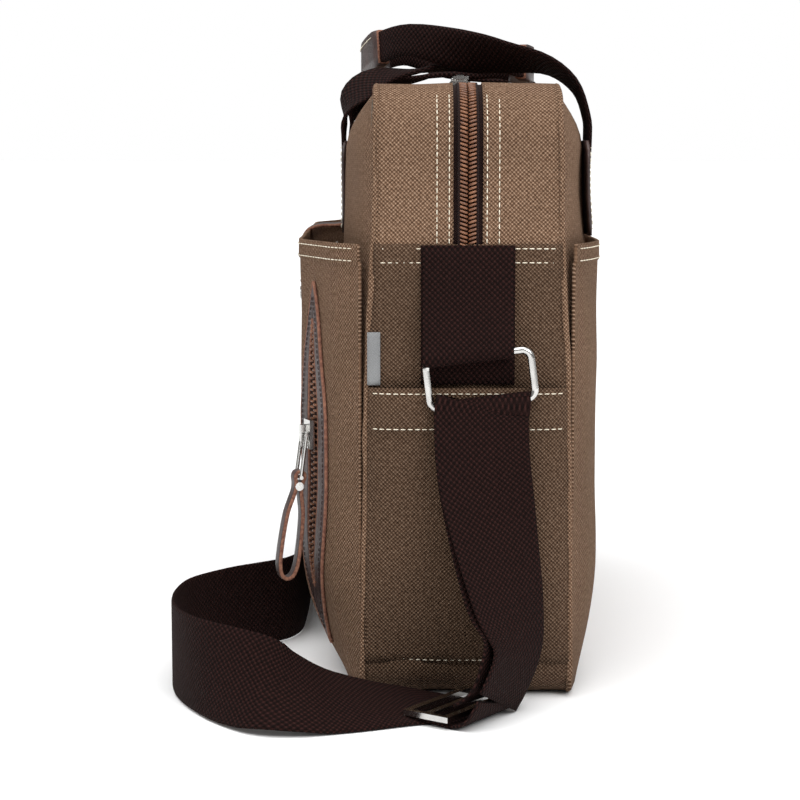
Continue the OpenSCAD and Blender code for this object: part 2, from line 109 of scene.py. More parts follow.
# Webbing
STRAP_W = 0.050
RING_TAB_W = 0.048
WEBBING = 0.0018
STITCH = 0.0038
SHORT_STITCH = 0.0034
THREAD_R = 0.00031
FINE_THREAD_R = 0.0003
DARK_THREAD_R = 0.0004

# The strap from the adjuster up to the ring, round its lower bar and back down: a point and the
# direction of the webbing's width there, in millimetres.
RETURN_ROUTE = [
    ((229, 3, 10), (-0.81, 0.585, 0)),
    ((232.5, 13, 19), (-0.83, 0.55, 0)),
    ((226, 20, 38), (-0.85, 0.53, 0)),
    ((218, 17, 60), (-0.65, 0.75, 0)),
    ((210, 12, 95), (-0.4, 0.9, 0)),
    ((204, 8, 130), (-0.1, 1, 0.1)),
    ((197.3, 7, 155), (0, 1, 0.12)),
]
RING_WRAP = [
    ((197.2, 8, 162), (0, 1, 0.12)),
    ((198.2, 8, 164.4), (0, 1, 0.12)),
    ((200.5, 8, 165.4), (0, 1, 0.12)),
    ((202.8, 8, 164.4), (0, 1, 0.12)),
    ((203.8, 8, 162), (0, 1, 0.12)),
]
STRAP_ROUTE = [
    ((204.5, 7, 155), (0, 1, 0.1)),
    ((210, 8, 130), (-0.1, 1, 0.1)),
    ((215, 14, 95), (-0.4, 0.9, 0)),
    ((222, 21, 60), (-0.65, 0.75, 0)),
    ((229, 25, 34), (-0.85, 0.53, 0)),
    ((237, 15, 10), (-0.82, 0.57, 0)),
    ((232.5, 7, 1.3), (-0.81, 0.585, 0)),
    ((223, -6, 1.2), (-0.81, 0.585, 0)),
    ((215.5, -19, 2), (-0.9, 0.4, -0.02)),
    ((222, -38, 5.6), (-0.96, 0.2, 0.06)),
    ((237, -69, 11.6), (-0.94, 0.07, 0.32)),
    ((246, -89, 18), (-0.8, 0.05, 0.55)),
    ((247, -106, 22.6), (-0.6, 0, 0.8)),
    ((238, -124, 24.6), (-0.35, 0, 0.95)),
    ((222, -141, 25.6), (-0.12, 0, 1)),
    ((198, -154, 25.5), (0, 0, 1)),
    ((170, -161, 25.5), (0, 0, 1)),
    ((140, -161, 25.5), (0, 0, 1)),
    ((113, -155, 25.5), (0, 0, 1)),
    ((86, -136, 25.5), (0, 0, 1)),
    ((70, -118, 25.5), (0, 0, 1)),
    ((56, -104, 25.5), (0, 0, 1)),
    ((35, -97, 25.5), (0, 0, 1)),
    ((0, -95.5, 25.5), (0, 0, 1)),
    ((-60, -95.5, 25.5), (0, 0, 1)),
    ((-130, -96, 25.5), (0, 0, 1)),
    ((-200, -98, 25.5), (0, 0, 1)),
    ((-252, -90, 25.5), (0, 0, 1)),
    ((-284, -58, 25.5), (0, 0, 1)),
    ((-286, -20, 33), (0.2, 0.35, 0.9)),
    ((-268, 4, 55), (0.1, 0.8, 0.5)),
    ((-238, 6, 95), (0, 1, 0.1)),
    ((-214, 1, 130), (0, 1, 0)),
    ((-205, 0, 154), (0, 1, 0)),
    ((-203.8, 0, 162), (0, 1, 0)),
    ((-200.5, 0, 165.4), (0, 1, 0)),
    ((-197.2, 0, 162), (0, 1, 0)),
    ((-198, 0, 140), (0, 1, 0)),
]
NEAR_END = len(RETURN_ROUTE) + len(RING_WRAP) + 5
FAR_END = len(RETURN_ROUTE) + len(RING_WRAP) + 30

# One half of each hand grip's webbing, from under its patch to the middle of the grip: a point, the
# direction of its width, its width and its thickness as it folds, in millimetres.
BACK_ROUTE = [
    ((125, 67.5, 285), (1, 0, 0), 38, 2),
    ((125, 68.3, 302), (1, 0, 0), 38, 2),
    ((125, 67.5, 314), (1, 0, 0), 38, 2),
    ((123, 61, 331), (1, 0, 0.1), 38, 2),
    ((118, 45, 343), (0.9, 0.1, 0.15), 36, 2.2),
    ((108, 20, 348), (0.8, 0.3, 0.35), 32, 2.6),
    ((97, -6, 352.5), (0.5, 0.3, 0.6), 24, 3.6),
    ((81, -30, 358), (0.1, 0.1, 1), 18, 4.4),
    ((60, -46, 355), (0, 0, 1), 18, 4.4),
    ((30, -54, 350), (0, 0, 1), 18, 4.4),
    ((0, -56, 348), (0, 0, 1), 18, 4.4),
]
FRONT_ROUTE = [
    ((85, -67.5, 285), (1, 0, 0), 38, 2),
    ((85, -68.3, 302), (1, 0, 0), 38, 2),
    ((85, -67.5, 313), (1, 0, 0), 38, 2),
    ((84, -62.5, 326), (0.92, 0.3, -0.25), 38, 2),
    ((81, -48, 337), (0.86, 0.4, -0.2), 34, 2.2),
    ((76, -24, 341), (0.92, 0.2, 0), 28, 2.6),
    ((65, 0, 346.5), (0.75, -0.1, 0.25), 21, 3.4),
    ((54, 22, 349), (0.2, 0, 1), 18, 4.2),
    ((38, 36, 347), (0, 0, 1), 18, 4.2),
    ((18, 41, 346.5), (0, 0, 1), 18, 4.2),
    ((0, 42, 346.5), (0, 0, 1), 18, 4.2),
]
GRIP_FROM = 8
GRIP_THICK = 0.0076
PATCH_LOW = 0.2485
PATCH_HIGH = 0.3005
PATCH_W = 0.046
PATCH_THICK = 0.0022
TAB_THICK = 0.0021

# The snap tab from under its patch, over the pocket's hem, to its rounded tip: a point and the width
# there, in millimetres.
TAB_ROUTE = [
    ((0, -67, 262), 28),
    ((0, -68, 252), 28),
    ((0, -74, 249), 28),
    ((0, -86, 248.5), 28),
    ((0, -94.2, 244), 28),
    ((0, -95.2, 232), 28),
    ((0, -95.2, 216), 28),
    ((0, -95.2, 208), 26.5),
    ((0, -95.2, 203), 22),
    ((0, -95.2, 199.6), 14),
    ((0, -95.2, 198.4), 6),
]

# Camera
CAMERA_AT = (1.29, -0.036, 0.30)
CAMERA_DOWN = math.radians(7.1)
LENS = 93.4
SENSOR = 36

# Light
ROOM_DARK = (0.16, 0.155, 0.15, 1)
ROOM_WHITE = (1, 1, 1, 1)
ROOM_STRENGTH = 0.72
SUN_STRENGTH = 2.5
SUN_WIDTH = math.radians(60)
KEY_POWER = 16

METAL_NODES = [
    "main_slider_right", "main_slider_left", "main_pull_right", "main_pull_left", "front_slider",
    "front_pull_hook", "front_pull_rivet", "snap_cap", "snap_socket", "ring_right", "ring_left",
    "adjuster",
]


# ---------------------------------------------------------------- curves

def table(rows, x):
    """The value at x on the straight lines between rows of (x, value)."""
    if x <= rows[0][0]:
        return rows[0][1]
    for (x0, y0), (x1, y1) in zip(rows, rows[1:]):
        if x <= x1:
            return y0 + (y1 - y0) * (x - x0) / (x1 - x0)
    return rows[-1][1]


def soft_table(rows, x, reach):
    """A table's value with its corners rounded over reach to each side."""
    return (table(rows, x - reach) + 2 * table(rows, x) + table(rows, x + reach)) / 4


def steps(low, high, count):
    """count + 1 evenly spaced values from low to high."""
    return [low + (high - low) * i / count for i in range(count + 1)]


def spline(a, b, c, d, s):
    """A point on the smooth curve between b and c, which lie between a and d."""
    return 0.5 * (2 * b + (c - a) * s + (2 * a - 5 * b + 4 * c - d) * s * s
                  + (3 * b - a - 3 * c + d) * s * s * s)


def smooth(values, count):
    """A list with count steps of the smooth curve between each two of its values."""
    last = len(values) - 1
    out = []
    for i in range(last):
        a, b, c, d = values[max(i - 1, 0)], values[i], values[i + 1], values[min(i + 2, last)]
        out += [spline(a, b, c, d, k / count) for k in range(count)]
    return out + [values[last]]


def tangents(points):
    """The unit direction of a polyline at each of its points."""
    last = len(points) - 1
    return [(points[min(i + 1, last)] - points[max(i - 1, 0)]).normalized() for i in range(last + 1)]


def walk(points, pitch):
    """Positions every pitch along a polyline, with its direction and the share of its length there."""
    lengths = [0.0]
    for a, b in zip(points, points[1:]):
        lengths.append(lengths[-1] + (b - a).length)
    total = lengths[-1]
    count = max(1, round(total / pitch))
    out = []
    i = 0
    for k in range(count):
        s = (k + 0.5) * total / count
        while lengths[i + 1] < s:
            i += 1
        step = points[i + 1] - points[i]
        out.append((points[i] + step * ((s - lengths[i]) / step.length), step.normalized(), s / total))
    return out


def half_depth(z):
    """The distance from the bag's middle to its seams at a height."""
    return soft_table(HALF_DEPTH, z, 0.02)


def half_width(z):
    """Half of the bag's width at a height, with its rounded corners."""
    if z < BOTTOM_R:
        return HALF_W - BOTTOM_R + math.sqrt(BOTTOM_R ** 2 - (BOTTOM_R - z) ** 2)
    if z > TOP - TOP_R:
        return HALF_W - TOP_R + math.sqrt(max(0.0, TOP_R ** 2 - (z - TOP + TOP_R) ** 2))
    return HALF_W


def arc(x, z, radius, start, end, count):
    """Points on an arc in X and Z with the arc's outward direction, angles in degrees."""
    out = []
    for a in steps(math.radians(start), math.radians(end), count):
        n = Vector((math.cos(a), 0, math.sin(a)))
        out.append((Vector((x, 0, z)) + n * radius, n))
    return out


def straight(a, b, normal, count):
    """Evenly spaced points from a to b in X and Z, with one outward direction."""
    return [(Vector((a[0], 0, a[1])).lerp(Vector((b[0], 0, b[1])), t), Vector(normal))
            for t in steps(0, 1, count)]


def side_path(low):
    """The outline of the bag's right end from its base, or a height low, up to the top corner."""
    up = straight((HALF_W, max(low, BOTTOM_R)), (HALF_W, TOP - TOP_R), (1, 0, 0), 50)
    if low >= BOTTOM_R:
        return up
    return arc(HALF_W - BOTTOM_R, BOTTOM_R, BOTTOM_R, -90, 0, 8)[:-1] + up


def over_path(low):
    """The outline from a height on the right end, over the top and down to it on the left end."""
    right = side_path(low) + arc(HALF_W - TOP_R, TOP - TOP_R, TOP_R, 0, 90, 12)[1:]
    top = straight((HALF_W - TOP_R, TOP), (TOP_R - HALF_W, TOP), (0, 0, 1), 60)[1:-1]
    left = [(mirror_x(p), mirror_x(n)) for p, n in reversed(right)]
    return right + top + left


def mirror_x(v):
    """v seen in a mirror across the middle of the bag."""
    return Vector((-v.x, v.y, v.z))


def rumple(p, reach, size):
    """A gentle unevenness at a point, up to about reach, with humps about size across."""
    return reach * noise.noise(p / size)


# ---------------------------------------------------------------- meshes

def add_mesh(name, vertices, faces, maps, materials, face_slots=None):
    """A smooth-shaded mesh with one map coordinate in metres for each corner of each face."""
    mesh = bpy.data.meshes.new(name)
    mesh.from_pydata([tuple(v) for v in vertices], [], faces)
    for material in materials:
        mesh.materials.append(material)
    layer = mesh.uv_layers.new(name="weave")
    corner = 0
    for coordinates in maps:
        for uv in coordinates:
            layer.data[corner].uv = uv
            corner += 1
    for i, polygon in enumerate(mesh.polygons):
        polygon.use_smooth = True
        if face_slots:
            polygon.material_index = face_slots[i]
    obj = bpy.data.objects.new(name, mesh)
    bpy.context.scene.collection.objects.link(obj)
    return obj


def along(points):
    """The length of a polyline up to each of its points."""
    out = [0.0]
    for a, b in zip(points, points[1:]):
        out.append(out[-1] + (b - a).length)
    return out


def cloth(name, rows, material, thickness=CLOTH):
    """A piece of cloth from a grid of points, thickened away from its outer face."""
    count = len(rows[0])
    middle = count // 2
    v = along([row[middle] for row in rows])
    uv = []
    for i, row in enumerate(rows):
        u = along(row)
        uv.append([(u[k] - u[middle], v[i]) for k in range(count)])
    faces = []
    maps = []
    for i in range(len(rows) - 1):
        for k in range(count - 1):
            cells = [(i, k), (i, k + 1), (i + 1, k + 1), (i + 1, k)]
            faces.append([r * count + c for r, c in cells])
            maps.append([uv[r][c] for r, c in cells])
    obj = add_mesh(name, [p for row in rows for p in row], faces, maps, [material])
    solid = obj.modifiers.new("thickness", "SOLIDIFY")
    solid.thickness = thickness
    solid.offset = -1
    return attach(obj, "bag")


def sleeve(name, rings, materials, edges=(), closed=False):
    """A piece from rings of points. The ring segments named in edges take the second material."""
    count = len(rings[0])
    centres = [sum(ring, Vector()) / count for ring in rings]
    v = along(centres)
    u = along(list(rings[len(rings) // 2]) + [rings[len(rings) // 2][0]])
    faces = []
    maps = []
    slots = []
    for i in range(len(rings) - 1):
        for k in range(count):
            n = (k + 1) % count
            faces.append([i * count + k, i * count + n, (i + 1) * count + n, (i + 1) * count + k])
            maps.append([(u[k], v[i]), (u[k + 1], v[i]), (u[k + 1], v[i + 1]), (u[k], v[i + 1])])
            slots.append(1 if k in edges else 0)
    if not closed:
        last = (len(rings) - 1) * count
        faces += [list(range(count))[::-1], list(range(last, last + count))]
        maps += [[(u[k], 0) for k in range(count)]] * 2
        slots += [len(materials) - 1] * 2
    return add_mesh(name, [p for ring in rings for p in ring], faces, maps, materials, slots)


BAND_SECTION = [(-0.5, -0.3), (-0.5, 0.3), (-0.47, 0.5), (-0.25, 0.5), (0, 0.5), (0.25, 0.5), (0.47, 0.5),
                (0.5, 0.3), (0.5, -0.3), (0.47, -0.5), (0.25, -0.5), (0, -0.5), (-0.25, -0.5), (-0.47, -0.5)]
BAND_EDGES = (0, 1, 6, 7, 8, 13)


def band(name, frames, materials, edges=BAND_EDGES):
    """Webbing or a leather strip along frames of (point, width direction, width, thickness)."""
    points = [f[0] for f in frames]
    rings = []
    for (p, across, width, thick), t in zip(frames, tangents(points)):
        a = (across - across.dot(t) * t).normalized()
        n = t.cross(a)
        rings.append([p + a * (x * width) + n * (y * thick) for x, y in BAND_SECTION])
    if len(materials) == 1:
        edges = ()
    return sleeve(name, rings, materials, edges)


def cord_between(points, radius, sides=8):
    """Rings of a round cord along points."""
    rings = []
    for p, t in zip(points, tangents(points)):
        a = t.cross(Vector((0, 1, 0.01))).normalized()
        b = t.cross(a)
        turns = [2 * math.pi * k / sides for k in range(sides)]
        rings.append([p + (a * math.cos(w) + b * math.sin(w)) * radius for w in turns])
    return rings


def capsules(name, items, material, radius, body="bag"):
    """One mesh of small rounded bars: each item is (middle, half its length as a vector, outward)."""
    shape = [(-1.0, 0.35, -0.7), (-0.75, 0.9, 0.0), (0.0, 1.0, 0.25), (0.75, 0.9, 0.0), (1.0, 0.35, -0.7)]
    sides = 6
    vertices = []
    faces = []
    maps = []
    for middle, reach, out in items:
        first = len(vertices)
        side = reach.cross(out).normalized()
        for t, r, rise in shape:
            centre = middle + reach * t + out * (rise * radius)
            for k in range(sides):
                w = 2 * math.pi * k / sides
                vertices.append(centre + (side * math.cos(w) + out * math.sin(w)) * (r * radius))
        for i in range(len(shape) - 1):
            for k in range(sides):
                n = (k + 1) % sides
                cells = [(i, k), (i, n), (i + 1, n), (i + 1, k)]
                faces.append([first + a * sides + b for a, b in cells])
                maps.append([(b * radius, a * radius) for a, b in cells])
        ends = [list(range(sides))[::-1], list(range(len(shape) * sides - sides, len(shape) * sides))]
        for end in ends:
            faces.append([first + k for k in end])
            maps.append([(0, 0)] * sides)
    obj = add_mesh(name, vertices, faces, maps, [material])
    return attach(obj, body)


def stitches(points, normals, pitch=STITCH):
    """Stitches along a seam, as items for capsules."""
    items = []
    for p, t, share in walk(points, pitch):
        out = normals[min(int(share * len(normals)), len(normals) - 1)]
        items.append((p + out * 0.00025, t * pitch * 0.36, out))
    return items


# ---------------------------------------------------------------- materials

class Net:
    """A material's node tree with short calls for its maths."""

    def __init__(self, name, roughness, metallic=0.0, sheen=0.0, gloss=0.5):
        self.material = bpy.data.materials.new(name)
        self.material.use_nodes = True
        self.tree = self.material.node_tree
        self.shader = self.tree.nodes["Principled BSDF"]
        self.shader.inputs["Roughness"].default_value = roughness
        self.shader.inputs["Metallic"].default_value = metallic
        self.shader.inputs["Sheen Weight"].default_value = sheen
        self.shader.inputs["Sheen Roughness"].default_value = 0.6
        self.shader.inputs["Specular IOR Level"].default_value = gloss

    def link(self, source, target):
        """Join an output to an input."""
        self.tree.links.new(source, target)

    def math(self, operation, a, b=0.0):
        """The result of a sum on two numbers or outputs."""
        node = self.tree.nodes.new("ShaderNodeMath")
        node.operation = operation
        for socket, value in zip(node.inputs, (a, b)):
            if isinstance(value, (int, float)):
                socket.default_value = value
            else:
                self.link(value, socket)
        return node.outputs[0]

    def coordinates(self, kind):
        """The map in metres, or the object's own coordinates."""
        if kind == "map":
            node = self.tree.nodes.new("ShaderNodeUVMap")
            node.uv_map = "weave"
            return node.outputs[0]
        return self.tree.nodes.new("ShaderNodeTexCoord").outputs["Object"]

    def noise(self, size, detail, kind="object"):
        """Soft random variation from 0 to 1 with humps about size across, in metres."""
        node = self.tree.nodes.new("ShaderNodeTexNoise")
        node.inputs["Scale"].default_value = 1 / size
        node.inputs["Detail"].default_value = detail
        self.link(self.coordinates(kind), node.inputs["Vector"])
        return node.outputs["Fac"]

    def ramp(self, factor, colours):
        """Colours at places from 0 to 1 along a factor."""
        node = self.tree.nodes.new("ShaderNodeValToRGB")
        stops = node.color_ramp.elements
        while len(stops) < len(colours):
            stops.new(0.5)
        for stop, (place, colour) in zip(stops, colours):
            stop.position = place
            stop.color = (*colour, 1)
        self.link(factor, node.inputs[0])
        return node.outputs[0]

    def tint(self, colour, factor, low, high):
        """A colour made darker and lighter by a factor, between low and high."""
        node = self.tree.nodes.new("ShaderNodeVectorMath")
        node.operation = "SCALE"
        self.link(colour, node.inputs[0])
        self.link(self.math("ADD", self.math("MULTIPLY", factor, high - low), low), node.inputs["Scale"])
        return node.outputs[0]

    def bump(self, height, depth):
        """Relief from a height between 0 and 1, depth metres high."""
        node = self.tree.nodes.new("ShaderNodeBump")
        node.inputs["Distance"].default_value = depth
        node.inputs["Strength"].default_value = 1.0
        self.link(height, node.inputs["Height"])
        self.link(node.outputs[0], self.shader.inputs["Normal"])

    def colour(self, output):
        """Use an output as the surface's colour."""
        self.link(output, self.shader.inputs["Base Color"])


def scaled(colour, gain):
    """A colour made lighter or darker."""
    return tuple(c * gain for c in colour)


def woven(name, pitch, dark, middle, light, depth, roughness=0.9, sheen=0.15, fleck=0.35):
    """Plain-woven cloth: staggered yarns, each pitch apart along and across, with uneven dye."""
    net = Net(name, roughness, sheen=sheen, gloss=0.1)
    split = net.tree.nodes.new("ShaderNodeSeparateXYZ")
    net.link(net.coordinates("map"), split.inputs[0])
    wobble = net.math("MULTIPLY", net.noise(pitch * 4, 2, "map"), 2.2)
    waves = []
    for axis in (0, 1):
        turn = net.math("MULTIPLY", split.outputs[axis], 2 * math.pi / pitch)
        waves.append(net.math("SINE", net.math("ADD", turn, wobble)))
    weave = net.math("MULTIPLY", waves[0], waves[1])
    yarn = net.noise(pitch * 0.9, 3, "map")
    height = net.math("ADD", net.math("MULTIPLY", weave, 0.5), 0.5)
    mixed = net.math("ADD", net.math("MULTIPLY", height, 1 - fleck), net.math("MULTIPLY", yarn, fleck))
    colours = net.ramp(mixed, [(0.12, dark), (0.5, middle), (0.88, light)])
    cloudy = net.tint(colours, net.noise(0.045, 4), 0.78, 1.22)
    net.colour(cloudy)
    net.bump(net.math("ADD", height, net.math("MULTIPLY", yarn, 0.5)), depth)
    return net.material


def leather(name, dark, light, roughness=0.42):
    """Waxed leather with fine creases and uneven gloss."""
    net = Net(name, roughness)
    grain = net.tree.nodes.new("ShaderNodeTexVoronoi")
    grain.feature = "DISTANCE_TO_EDGE"
    grain.inputs["Scale"].default_value = 900
    net.link(net.coordinates("object"), grain.inputs["Vector"])
    patchy = net.noise(0.012, 5)
    net.colour(net.ramp(patchy, [(0.3, dark), (0.7, light)]))
    net.link(net.math("ADD", net.math("MULTIPLY", patchy, 0.3), roughness - 0.15),
             net.shader.inputs["Roughness"])
    height = net.math("ADD", net.math("MULTIPLY", grain.outputs[0], 0.6), net.noise(0.003, 4))
    net.bump(height, 0.00035)
    return net.material


def raw_edge():
    """The cut, fibrous edge of brown leather."""
    net = Net("raw_edge", 0.85)
    net.colour(net.ramp(net.noise(0.0016, 4), [(0.3, (0.11, 0.035, 0.022)), (0.7, (0.30, 0.14, 0.085))]))
    net.bump(net.noise(0.0007, 3), 0.0003)
    return net.material


def polished(name, base, roughness):
    """Polished plated metal with faint marks."""
    net = Net(name, roughness, metallic=1.0)
    net.colour(net.ramp(net.noise(0.006, 4), [(0.35, scaled(base, 0.86)), (0.65, base)]))
    net.link(net.math("ADD", net.math("MULTIPLY", net.noise(0.002, 5), 0.16), roughness - 0.06),
             net.shader.inputs["Roughness"])
    return net.material


def plain(name, dark, light, size, roughness, depth, gloss=0.5):
    """A material with soft variation in colour and a fine rough surface."""
    net = Net(name, roughness, gloss=gloss)
    net.colour(net.ramp(net.noise(size, 4), [(0.3, dark), (0.7, light)]))
    net.bump(net.noise(size / 3, 4), depth)
    return net.material


def make_materials():
    """All the materials, by name."""
    canvas = [(0.030, 0.014, 0.007), (0.178, 0.101, 0.061), (0.50, 0.345, 0.24)]
    # Painted shade: the pockets take the same canvas at 0.88 of its brightness, as shade on their faces.
    pocket = [scaled(c, 0.88) for c in canvas]
    # Painted shade: the end gussets, end pockets and base take the same canvas at 0.52 of its brightness, as
    # shade on the lower parts of the bag.
    low_shade = [scaled(c, 0.52) for c in canvas]
    web = [(0.0025, 0.0009, 0.0007), (0.0095, 0.0030, 0.0024), (0.034, 0.0120, 0.0100)]
    return {
        "canvas": woven("canvas", 0.0022, *canvas, 0.0010, sheen=0.0, fleck=0.5),
        "canvas_pocket_shaded": woven("canvas_pocket_shaded", 0.0022, *pocket, 0.0010, sheen=0.0, fleck=0.5),
        "canvas_low_shaded": woven("canvas_low_shaded", 0.0022, *low_shade, 0.0010, sheen=0.0, fleck=0.5),
        "webbing": woven("webbing", 0.0030, *web, 0.0009, roughness=0.85, sheen=0.0, fleck=0.35),
        "tape": woven("tape", 0.0012, *web, 0.0003, sheen=0.05),
        "lining": woven("lining", 0.0012, (0.08, 0.06, 0.045), (0.15, 0.12, 0.09), (0.24, 0.2, 0.16), 0.0002),
        "ribbon": woven("ribbon", 0.0008, (0.12, 0.12, 0.12), (0.23, 0.235, 0.24), (0.4, 0.4, 0.4), 0.0002),
        "leather": leather("leather", (0.022, 0.011, 0.0095), (0.062, 0.034, 0.030)),
        "edge": raw_edge(),
        "metal": polished("metal", (0.62, 0.61, 0.59), 0.14),
        "coil": plain("coil", (0.10, 0.036, 0.016), (0.24, 0.10, 0.045), 0.004, 0.3, 0.0002),
        "thread": plain("thread", (0.66, 0.58, 0.44), (0.88, 0.82, 0.68), 0.002, 0.8, 0.0002),
        "dark_thread": plain("dark_thread", (0.02, 0.01, 0.008), (0.06, 0.035, 0.03), 0.002, 0.8, 0.0002),
        "board": plain("board", (0.012, 0.012, 0.012), (0.04, 0.04, 0.04), 0.002, 0.8, 0.0004),
    }


# ---------------------------------------------------------------- body

def panel_y(x, z):
    """Distance from the bag's middle to the outer face of its front or back panel."""
    u = min(abs(x) / half_width(z), 1.0)
    rise = min(z / SWELL_FOOT, 1.0, (TOP - z) / SWELL_HEAD)
    rise = math.sin(max(rise, 0.0) * math.pi / 2)
    uneven = rumple(Vector((x, 0.3, z)), 0.0030, 0.05)
    return half_depth(z) + (SWELL + uneven) * (1 - u ** 6) * rise


def panel(name, side, material):
    """The front (side -1) or back (side 1) panel."""
    heights = [TOP * (1 - math.cos(math.pi * t)) / 2 for t in steps(0, 1, 44)]
    rows = []
    for z in heights:
        w = half_width(z)
        row = [Vector((w * math.sin(t * math.pi / 2), 0, z)) for t in steps(-1, 1, 48)]
        rows.append([Vector((p.x, side * panel_y(p.x, z), z)) for p in row])
    if side > 0:
        rows = [row[::-1] for row in rows]
    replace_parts(cloth(name, rows, material), name)


def pocket_face(face, x, z):
    """Distance from the bag's middle to the outer face of a pocket that is sewn in round its foot."""
    seam = half_depth(z) + 0.0012
    full = max(soft_table(face, abs(x), 0.005), seam)
    low = max(0.0, 1 - z / POCKET_SWELL)
    uneven = rumple(Vector((x, 1.7, z)), 0.0012, 0.04) * min(1.0, (HALF_W - abs(x)) / 0.02)
    return seam + (full - seam) * (1 - 0.72 * low * low) + uneven


def pocket_point(face, side, x, z, out=0.0):
    """A point on a pocket's outer face, or out from it."""
    slope = pocket_face(face, x + 0.002, z) - pocket_face(face, x - 0.002, z)
    normal = Vector((-slope / 0.004, side, 0)).normalized()
    return Vector((x, side * pocket_face(face, x, z), z)) + normal * out, normal


def big_pocket(name, face, side, mats):
    """A pocket across the front or the back, with its hem folded and stitched."""
    limit = HALF_W - 0.0005
    across = steps(-1, 1, 76)
    heights = steps(POCKET_FOOT, POCKET_HEM - HEM, 30) + steps(POCKET_HEM - HEM + 0.0012, POCKET_HEM, 3)
    rows = []
    for z in heights:
        fold = HEM_RISE if z > POCKET_HEM - HEM else 0.0
        xs = [limit * math.sin(t * math.pi / 2) for t in across]
        rows.append([pocket_point(face, side, x, z, fold)[0] for x in xs])
    if side > 0:
        rows = [row[::-1] for row in rows]
    obj = cloth(name, rows, mats["canvas_pocket_shaded"], CLOTH * 1.4)
    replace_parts(obj, name)
    for z in HEM_SEAMS:
        pairs = [pocket_point(face, side, x, z, HEM_RISE) for x in steps(-limit + 0.004, limit - 0.004, 90)]
        items = stitches([p for p, n in pairs], [n for p, n in pairs])
        capsules(f"{name}_stitches_{round(z / MM)}", items, mats["thread"], THREAD_R)


def strip_rows(path, y_from, y_to, out, count):
    """Rows across a strip of the gusset along a path, from one depth to another at each height."""
    rows = []
    for p, n in path:
        low, high = y_from(p.z), y_to(p.z)
        row = []
        for y in steps(low, high, count):
            point = p + n * out + Vector((0, y, 0))
            row.append(point + n * rumple(point, 0.0016, 0.03))
        rows.append(row)
    return rows


def zip_gusset(side, mats):
    """One half of the gusset along the main zip, with its edge folded back beside the zip."""
    name = "zip_gusset_front" if side < 0 else "zip_gusset_back"
    path = over_path(GUSSET_Z - 0.004)
    if side < 0:
        rows = strip_rows(path, lambda z: -half_depth(z), lambda z: -ZIP_EDGE, ZIP_GUSSET_RISE, 10)
    else:
        rows = strip_rows(path, lambda z: ZIP_EDGE, half_depth, ZIP_GUSSET_RISE, 10)
    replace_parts(cloth(name, rows, mats["canvas"]), name)
    items = []
    for y in ZIP_SEAMS:
        points = [p + n * ZIP_GUSSET_RISE + Vector((0, side * y, 0)) for p, n in path]
        items += stitches(points, [n for p, n in path])
    capsules(f"{name}_stitches", items, mats["thread"], THREAD_R)


def side_gusset(side, mats):
    """The lower gusset on one end, round the bottom corner, hemmed over the end of the zip."""
    name = "side_gusset_right" if side > 0 else "side_gusset_left"
    path = [pair for pair in side_path(0.0) if pair[0].z <= GUSSET_Z]
    rows = strip_rows(path, lambda z: -half_depth(z), half_depth, SIDE_GUSSET_RISE, 24)
    hem = [[p + Vector((GUSSET_HEM_RISE, 0, 0)) for p in row] for row in rows[-3:]]
    top = [Vector((p.x, p.y, GUSSET_Z)) for p in hem[-1]]
    rows = rows[:-3] + hem + [top]
    if side < 0:
        rows = [[mirror_x(p) for p in row][::-1] for row in rows]
    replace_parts(cloth(name, rows, mats["canvas_low_shaded"]), name)
    items = []
    for z in GUSSET_SEAMS:
        points = [Vector((side * (HALF_W + 0.0014), y, z)) for y in steps(-0.047, 0.047, 30)]
        items += stitches(points, [Vector((side, 0, 0))])
    foot = [Vector((side * (HALF_W + 0.0007), y, 0.021 + 0.006 * (y / 0.055) ** 4))
            for y in steps(-0.054, 0.054, 24)]
    items += stitches(foot, [Vector((side, 0, 0))])
    capsules(f"{name}_stitches", items, mats["thread"], THREAD_R)


def base(mats):
    """The canvas under the bag."""
    reach = HALF_W - BOTTOM_R
    rows = [[Vector((x, y, 0.0)) for y in steps(-half_depth(0), half_depth(0), 12)]
            for x in steps(reach, -reach, 30)]
    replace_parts(cloth("base_panel", rows, mats["canvas_low_shaded"]), "base_panel")


def seam_roll(side, mats):
    """The bound seam round the front or back panel, as a soft roll."""
    path = over_path(0.0)
    foot = straight((BOTTOM_R - HALF_W, 0.0), (HALF_W - BOTTOM_R, 0.0), (0, 0, -1), 40)[1:-1]
    loop = path + foot + path[:1]
    points = []
    for p, n in loop:
        uneven = rumple(p + Vector((0, side, 0)), 0.0006, 0.02)
        points.append(p - n * 0.0006 + Vector((0, side * (half_depth(p.z) + 0.0004 + uneven), 0)))
    name = "seam_roll_front" if side < 0 else "seam_roll_back"
    points = [Vector((p.x, p.y, max(p.z, 0.0012))) for p in points]
    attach(sleeve(name, cord_between(points, SEAM_R), [mats["canvas"]], closed=True), "bag")


def side_pocket_x(y, z):
    """Distance from the bag's middle to the face of the pocket on its end."""
    u = min(abs(y) / (half_depth(z) - 0.0005), 1.0)
    rise = math.sin(min(max((z - 0.020) / 0.05, 0.0), 1.0) * math.pi / 2)
    return HALF_W + 0.0011 + SIDE_BULGE * (1 - u ** 8) * rise + rumple(Vector((3.0, y, z)), 0.0008, 0.03)


